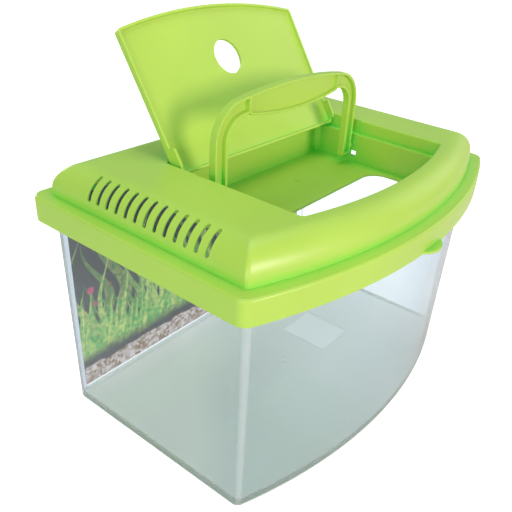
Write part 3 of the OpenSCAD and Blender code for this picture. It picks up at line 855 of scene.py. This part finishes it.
class KEEPER_OT_lid(bpy.types.Operator):
    """Make the lid: one closed wall section carried round the bowed outline, then cut."""

    bl_idname = "keeper.make_lid"
    bl_label = "Lid"

    def execute(self, context):
        scene = context.scene
        tank, lid, hatch, handle = scene.keeper_tank, scene.keeper_lid, scene.keeper_hatch, scene.keeper_handle
        skirt, dome, well_top, well_low, mouth = lid_outlines(tank, lid, hatch)
        t = lid.wall
        low, top = LID_LOW.z, LID_HIGH.z
        ledge = low + lid.skirt_height
        floor = top - lid.well_depth
        rest = HATCH_HINGE.z + hatch.pin_depth - hatch.lug_depth - 0.5 * MM
        draft = 0.5 * MM
        foot = inset(well_low, draft)
        nip = 0.35 * MM
        angles = quarter_turn(20)
        roll_z = top - lid.roll
        upper = turned_edge(skirt, low, nip, "out_bottom")
        upper += turned_edge(skirt, ledge, lid.skirt_edge, "up_outer", steps=8)
        upper += [ring(dome, ledge)]
        upper += [
            ring(inset(dome, lid.roll * (1 - math.cos(a)), lid.crease), roll_z + lid.roll * math.sin(a)) for a in angles
        ]
        upper += turned_edge(well_top, top, lid.well_edge, "in_top", steps=6)
        upper += [ring(well_top, rest)]
        upper += turned_edge(well_low, rest, nip, "in_top")
        upper += [ring(foot, floor)]
        upper += turned_edge(mouth, floor, 2 * nip, "in_top")
        under = turned_edge(mouth, floor - t, nip, "down_inner")[::-1]
        under += [ring(inset(foot, -t), floor - t), ring(inset(well_low, -t), rest - t)]
        under += [ring(inset(well_top, -t), rest - t), ring(inset(well_top, -t), top - t)]
        inner_roll = lid.roll - t
        under += [
            ring(inset(dome, lid.roll - inner_roll * math.cos(a), lid.crease), roll_z + inner_roll * math.sin(a))
            for a in reversed(angles)
        ]
        base_z = ledge - t
        under += [ring(inset(dome, t, lid.crease), base_z), ring(inset(skirt, t), base_z), ring(inset(skirt, t), low)]
        piece = skin("vented_lid", upper + under, closed=True)

        material = made_once(moulded_polypropylene)
        boss_end = well_low.half + t + lid.boss_depth
        to_pivot, to_hinge = Matrix.Translation(HANDLE_PIVOT), Matrix.Translation(HATCH_HINGE)
        bosses = mirrored(moved(rod("boss", well_low.half + t / 2, boss_end, handle.pin + lid.boss_wall), to_pivot))
        gate = gate_mark(15.5 * MM, 3 * MM, floor, 2 * MM, edge=0.2 * MM)
        combine(piece, bosses + [gate, self.lifting_tab(lid, skirt)], "UNION")
        start = well_low.half - 3 * MM
        clear = 0.08 * MM
        cutters = mirrored(moved(rod("pivot_bore", start, boss_end + PAST, handle.pin + clear), to_pivot))
        cutters += mirrored(moved(rod("hinge_bore", start, well_top.half + t + PAST, hatch.pin + clear), to_hinge))
        guide = handle.thick / 2 + 1 * MM
        notch = guide + 1.5 * MM
        y, z = HANDLE_PIVOT.y, HANDLE_PIVOT.z
        window_top = z - handle.pin - lid.boss_wall / 2
        window = y - guide - 2.8 * MM
        window_low = window_top - lid.window_height
        for low_corner, high_corner in (
            ((start, y - guide, z), (well_low.half + lid.groove, y + guide, rest + PAST)),
            ((start, y - notch, rest), (well_top.half + lid.notch, y + notch, top + PAST)),
            ((start, window, window_low), (boss_end + PAST, window + lid.window_width, window_top)),
        ):
            cutters += mirrored(box("recess", low_corner, high_corner))
        vents = scene.keeper_vents
        for side in (-1, 1):
            cutters.append(vent_cutters(dome, lid, vents, side, material, vents.width))
            cutters.append(vent_pockets(dome, lid, vents, side, material))
        combine(piece, cutters, "DIFFERENCE")
        finish(piece, material, "lid", "lid")
        return {"FINISHED"}

    def lifting_tab(self, lid, skirt):
        """The half-round tab under the middle of the skirt's front."""
        r = lid.tab_width / 2
        tip = front_of(skirt) - lid.tab_out
        bite, clear = 0.8 * MM, 0.05 * MM
        back = skirt.radius - bite
        disc = [
            point
            for point in arc(0, tip + r, r, math.pi, 2 * math.pi, 40)
            if math.dist(point, (0, skirt.centre)) > back + clear
        ]
        spread = math.asin(disc[-1][0] / back)
        joint = arc(0, skirt.centre, back, -math.pi / 2 + spread, -math.pi / 2 - spread, 12)
        return prism("tab", disc + joint, LID_LOW.z + clear, LID_LOW.z + lid.tab_thick + clear)


class KEEPER_OT_hatch(bpy.types.Operator):
    """Make the hatch: a shallow tray with a finger hole, swung open on its pins."""

    bl_idname = "keeper.make_hatch"
    bl_label = "Hatch"

    def execute(self, context):
        lid, hatch = context.scene.keeper_lid, context.scene.keeper_hatch
        shape = hatch_outline(hatch)
        top = HATCH_HINGE.z + hatch.pin_depth
        low = top - hatch.depth
        under = top - hatch.plate
        inner, least = inset(shape, hatch.rim, least=1.4 * MM), 1 * MM
        half = hatch.width / 2
        rim_side = half - hatch.rim
        lug_low = top - hatch.lug_depth
        nip = 0.4 * MM
        fillet = 1.2 * MM
        rings = []
        for a in quarter_turn(5):
            by = fillet * (1 - math.sin(a))
            rings.append(ring(inset(inner, by, least), under - fillet * (1 - math.cos(a))))
        for a in (0, 0.5, 1.0, math.pi / 2):
            rings.append(ring(inset(inner, -nip * (1 - math.cos(a)), least), low + nip * (1 - math.sin(a))))
        rings += turned_edge(shape, low, nip, "out_bottom")
        rings += turned_edge(shape, top, 0.6 * MM, "up_outer")
        piece = skin("feeding_hatch", rings)
        # Stop lugs on the sides of the rim, which come down on the ledges in the well
        front, back, corner = shape.rear - hatch.lug_length, shape.rear - shape.corner, 1.5 * MM
        outline = [(back, under), (back, lug_low)]
        outline += arc(front + corner, lug_low + corner, corner, -math.pi / 2, -math.pi, 6) + [(front, under)]
        lug = skin("lug", [[(x, y, z) for y, z in outline] for x in (rim_side, half)])
        combine(piece, mirrored(lug), "UNION")
        # The rim's ends are rounded about the pins
        side = rim_side - 0.2 * MM
        to_hinge = Matrix.Translation(HATCH_HINGE)
        ear = moved(rod("ear", side - PAST, side + 10 * MM + PAST, hatch.ear), to_hinge)
        corners = (side, HATCH_HINGE.y, lug_low - PAST), (side + 10 * MM, shape.rear + PAST, HATCH_HINGE.z)
        waste = combine(box("waste", *corners), [ear], "DIFFERENCE")
        hole = arc(0, shape.rear - hatch.hole_back, hatch.hole, 0, math.tau, steps=72, skip_last=1)
        combine(piece, mirrored(waste) + [prism("hole", hole, under - PAST, top + PAST)], "DIFFERENCE")
        pin_end = half + lid.hatch_gap + lid.wall - 0.3 * MM
        pins = mirrored(moved(rod("pin", rim_side, pin_end, hatch.pin, edge=0.2 * MM), to_hinge))
        combine(piece, pins, "UNION")
        moved(piece, to_hinge @ Matrix.Rotation(-HATCH_SWING, 4, "X") @ to_hinge.inverted())
        finish(piece, made_once(moulded_polypropylene), "hatch", "hatch")
        return {"FINISHED"}


class KEEPER_OT_handle(bpy.types.Operator):
    """Make the handle: a channel-section arch with a filled grip, on two pivot pins."""

    bl_idname = "keeper.make_handle"
    bl_label = "Carrying handle"

    def execute(self, context):
        lid, hatch, handle = context.scene.keeper_lid, context.scene.keeper_hatch, context.scene.keeper_handle
        half = hatch.width / 2 - lid.rest - 0.5 * MM - handle.leg_gap
        piece = self.arch(handle, half)
        reach = hatch.width / 2 - lid.rest + lid.wall + lid.boss_depth - 0.4 * MM
        pins = mirrored(rod("pin", half - 0.5 * MM, reach, handle.pin, edge=0.3 * MM))
        # The arch's flanges stop at the grip's rim, so that the sunk panel is clear
        over = 0.3 * MM
        front, panel = -handle.grip_thick / 2 - PAST, handle.recess - handle.grip_thick / 2 + over
        inside = self.grip_points(handle, handle.grip_rim - over)
        clearing = skin("clearing", [[(x, y, z) for x, z in inside] for y in (front, panel)])
        combine(piece, [clearing], "DIFFERENCE")
        combine(piece, [self.grip(handle)] + mirrored(self.foot(handle, half)) + pins, "UNION")
        moved(piece, Matrix.Translation(HANDLE_PIVOT))
        finish(piece, made_once(moulded_polypropylene), "handle", "handle")
        return {"FINISHED"}

    def foot(self, handle, half):
        """The wall that closes the end of a leg."""
        t, nip = handle.thick / 2, 0.4 * MM

        def level(by, z):
            inner, outer = half - handle.strap + by, half - by
            return [(x, y, z) for x, y in ((inner, by - t), (outer, by - t), (outer, t - by), (inner, t - by))]

        end = -handle.foot
        rings = [level(nip, end), level(0.3 * nip, end + 0.3 * nip), level(0, end + nip), level(0, end + handle.flange)]
        return skin("foot", rings)

    def arch(self, handle, half):
        """The bail: its channel section carried up one leg, over the arch and down the other."""
        centre = handle.height - handle.arch
        cx = half - handle.corner
        cz = centre + math.sqrt((handle.arch - handle.corner) ** 2 - cx**2)
        lean = math.atan2(cz - centre, cx)
        steps, crest_steps = 18, 40
        path = [(half, -handle.foot + 0.4 * MM, 0.0)]
        path += [(*point, lean * i / steps) for i, point in enumerate(arc(cx, cz, handle.corner, 0, lean, steps))]
        crest = math.pi - 2 * lean
        path += [
            (*point, lean + crest * i / crest_steps)
            for i, point in enumerate(arc(0, centre, handle.arch, lean, math.pi - lean, crest_steps))
            if 0 < i < crest_steps
        ]
        path += [(-x, z, math.pi - a) for x, z, a in reversed(path[: steps + 2])]
        section = self.section(handle)
        rings = [
            [(x - across * math.cos(a), depth, z - across * math.sin(a)) for across, depth in section]
            for x, z, a in path
        ]
        return skin("carrying_handle", rings)

    def section(self, handle):
        """The channel section, from the outer flange inwards, open to the front, with its corners broken."""
        w, f, t, nip = handle.strap, handle.flange, handle.thick / 2, 0.4 * MM
        floor = t - handle.web
        half = [
            (w / 2, t),
            (nip, t),
            (0.3 * nip, t - 0.3 * nip),
            (0.0, t - nip),
            (0.0, nip - t),
            (0.3 * nip, 0.3 * nip - t),
            (nip, -t),
            (f - nip, -t),
            (f - 0.3 * nip, 0.3 * nip - t),
            (f, nip - t),
            (f, floor - nip),
            (f + 0.3 * nip, floor - 0.3 * nip),
            (f + nip, floor),
            (w / 2, floor),
        ]
        return half + [(w - across, depth) for across, depth in reversed(half[1:-1])]

    def grip(self, handle):
        """The grip: the arch's own top edge, a long curve below, and a panel sunk in its front."""
        t, rim = handle.grip_thick / 2, handle.grip_rim
        nip, bend = 0.5 * MM, 0.6 * MM
        panel = handle.recess - t
        profile = [(rim + bend, panel), (rim + 0.3 * bend, panel - 0.3 * bend), (rim, panel - bend)]
        profile += [(rim, 0.35 * MM - t), (rim - 0.1 * MM, 0.1 * MM - t), (rim - 0.35 * MM, -t)]
        profile += [(nip, -t), (0.3 * nip, 0.3 * nip - t), (0.0, nip - t)]
        profile += [(0.0, t - nip), (0.3 * nip, t - 0.3 * nip), (nip, t)]
        rings = [[(x, y, z) for x, z in self.grip_points(handle, k)] for k, y in profile]
        return skin("grip", rings)

    def grip_points(self, handle, k):
        """The grip's outline, moved inwards by k."""
        centre, corner = handle.height - handle.arch, handle.grip_corner
        half = handle.grip_half - corner
        low = handle.height - handle.strap - handle.grip_drop
        arch_low = centre + math.sqrt((handle.arch - handle.strap) ** 2 - handle.grip_half**2)
        corner_z = arch_low - handle.grip_step + corner
        low_r = (half**2 + (corner_z - low) ** 2 - corner**2) / (2 * (corner_z - low - corner))
        a = math.acos((handle.grip_half - k) / (handle.arch - k))
        b = math.asin(half / (low_r - corner))
        down, r = 1.5 * math.pi, corner - k if corner > k + 0.5 * MM else 0.5 * MM
        return (
            arc(0, centre, handle.arch - k, a, math.pi - a, 40)
            + arc(-half, corner_z, r, math.pi, down - b, 8)
            + arc(0, low + low_r, low_r - k, down - b, down + b, 40, 1, 1)
            + arc(half, corner_z, r, down + b, math.tau, 8)
        )


# ---------- Stage ----------

CAMERA_PLACE = Vector((-340.9, -242.5, 331.7)) * MM
CAMERA_AZIMUTH, CAMERA_ELEVATION, CAMERA_ROLL = -55.408, 30.104, 4.935
CAMERA_LENS, CAMERA_SENSOR = 43.38, 36
CAMERA_REACH = 20
# The render's size, and how far its centre is moved, in pixels
RENDER_SIZE = 512
CENTRE_RIGHT, CENTRE_DOWN = 33.15, 7.66
# Lamps: name, place, side length, power in watts, and colour
LAMPS = (
    ("key", (0.0, -3.0, 0.95), 0.9, 55.0, (1.0, 0.73, 0.88)),
    ("side", (-1.5, -0.5, 0.5), 0.9, 10.5, (1.0, 0.96, 0.96)),
    ("right", (1.6, -0.5, 0.9), 0.9, 2.8, (1.0, 0.86, 1.0)),
    ("back", (0.3, 2.6, 0.6), 0.9, 20.0, (1.0, 0.86, 0.95)),
    ("top", (0.2, 0.1, 1.7), 1.0, 8.5, (0.9, 1.0, 0.92)),
)
LAMP_AIM = Vector((0, 0, 0.12))
FLOOR_HALF = 6.0
FLOOR_DROP = 0.2 * MM
FLOOR_GLOW = 0.8
PAPER, WHITE = linear(0xE7E7E7), linear(0xFFFFFF)
# The air's light: as it is mirrored in the pieces, and as it falls on them
MIRRORED_AIR, LIT_AIR = (0.42, 0.46, 0.46, 1), (0.24, 0.335, 0.28, 1)


def rays(tree):
    """1 for what is seen straight, mirrored or through the clear plastic, and how often a ray has been mirrored."""
    path = node(tree, "ShaderNodeLightPath").outputs
    return most(tree, *(path[f"Is {kind} Ray"] for kind in ("Camera", "Glossy", "Transmission"))), path["Glossy Depth"]


def seamless_paper():
    """White paper that glows where it is seen straight or through the clear plastic, and not where it is mirrored."""
    material, tree = new_material("seamless_paper")
    seen, times_mirrored = rays(tree)
    glow = node(tree, "ShaderNodeEmission", {"Color": WHITE, "Strength": FLOOR_GLOW})
    paper = node(tree, "ShaderNodeBsdfDiffuse", {"Color": PAPER})
    glowing = node(tree, "ShaderNodeAddShader", {0: paper, 1: glow})
    share = node(tree, "ShaderNodeMath", {0: seen, 1: times_mirrored}, operation="SUBTRACT", use_clamp=True)
    surface = node(tree, "ShaderNodeMixShader", {0: share, 1: paper, 2: glowing})
    node(tree, "ShaderNodeOutputMaterial", {"Surface": surface})
    return material


class KEEPER_OT_stage(bpy.types.Operator):
    """Make the floor, the lamps and the camera."""

    bl_idname = "keeper.make_stage"
    bl_label = "Stage"

    def execute(self, context):
        scene = context.scene
        scene.view_settings.view_transform = "Standard"
        corners = [(FLOOR_HALF * x, FLOOR_HALF * y, -FLOOR_DROP) for x, y in ((-1, -1), (1, -1), (1, 1), (-1, 1))]
        floor = solid("studio_floor", corners, [(0, 1, 2, 3)])
        floor.data.materials.append(seamless_paper())
        self.camera(scene)
        self.world(scene)
        for lamp in LAMPS:
            self.lamp(scene, *lamp)
        return {"FINISHED"}

    def camera(self, scene):
        """The camera, with its centre moved by a small shift."""
        data = bpy.data.cameras.new("camera")
        data.sensor_width = CAMERA_SENSOR
        data.lens = CAMERA_LENS
        data.shift_x = -CENTRE_RIGHT / RENDER_SIZE
        data.shift_y = CENTRE_DOWN / RENDER_SIZE
        data.clip_end = CAMERA_REACH
        camera = bpy.data.objects.new("camera", data)
        scene.collection.objects.link(camera)
        camera.matrix_world = (
            Matrix.Translation(CAMERA_PLACE)
            @ Matrix.Rotation(math.radians(CAMERA_AZIMUTH), 4, "Z")
            @ Matrix.Rotation(math.radians(90 - CAMERA_ELEVATION), 4, "X")
            @ Matrix.Rotation(math.radians(CAMERA_ROLL), 4, "Z")
        )
        scene.camera = camera

    def world(self, scene):
        """Studio air: white where it is seen, a dimmer grey where it is mirrored, and faintly green as light."""
        world = bpy.data.worlds.new("studio")
        world.use_nodes = True
        tree = world.node_tree
        tree.nodes.clear()
        seen, times_mirrored = rays(tree)
        colour = layered(tree, LIT_AIR, (seen, WHITE), (times_mirrored, MIRRORED_AIR))
        air = node(tree, "ShaderNodeBackground", {"Color": colour})
        node(tree, "ShaderNodeOutputWorld", {"Surface": air})
        scene.world = world

    def lamp(self, scene, name, place, size, power, colour):
        """A square soft box aimed at the object's middle."""
        data = bpy.data.lights.new(name, "AREA")
        data.shape = "SQUARE"
        data.size = size
        data.energy = power
        data.color = colour
        lamp = bpy.data.objects.new(name, data)
        scene.collection.objects.link(lamp)
        aim = LAMP_AIM - Vector(place)
        lamp.matrix_world = Matrix.Translation(place) @ aim.to_track_quat("-Z", "Y").to_matrix().to_4x4()


# ---------- Panel and registration ----------


class KEEPER_PT_panel(bpy.types.Panel):
    """Sizes, colours and build buttons of the pet keeper."""

    bl_idname = "KEEPER_PT_panel"
    bl_label = "Pet keeper"
    bl_space_type = "VIEW_3D"
    bl_region_type = "UI"
    bl_category = "Pet keeper"

    def draw(self, context):
        layout = self.layout
        for attribute, group in GROUPS.items():
            settings = getattr(context.scene, attribute)
            column = layout.box().column(align=True)
            column.label(text=group.__doc__)
            for name in group.__annotations__:
                column.prop(settings, name)
        for operator in OPERATORS:
            layout.operator(operator.bl_idname)


GROUPS = {
    "keeper_tank": KeeperTank,
    "keeper_lid": KeeperLid,
    "keeper_vents": KeeperVents,
    "keeper_hatch": KeeperHatch,
    "keeper_handle": KeeperHandle,
    "keeper_looks": KeeperLooks,
}
OPERATORS = (
    KEEPER_OT_stage,
    KEEPER_OT_tank,
    KEEPER_OT_backdrop,
    KEEPER_OT_lid,
    KEEPER_OT_hatch,
    KEEPER_OT_handle,
)


def register():
    for attribute, group in GROUPS.items():
        bpy.utils.register_class(group)
        setattr(bpy.types.Scene, attribute, bpy.props.PointerProperty(type=group))
    for entry in OPERATORS:
        bpy.utils.register_class(entry)
    bpy.utils.register_class(KEEPER_PT_panel)


def unregister():
    bpy.utils.unregister_class(KEEPER_PT_panel)
    for entry in reversed(OPERATORS):
        bpy.utils.unregister_class(entry)
    for attribute, group in reversed(GROUPS.items()):
        delattr(bpy.types.Scene, attribute)
        bpy.utils.unregister_class(group)


def main():
    register()
    for entry in OPERATORS:
        group, name = entry.bl_idname.split(".")
        getattr(getattr(bpy.ops, group), name)()


if __name__ == "__main__":
    main()
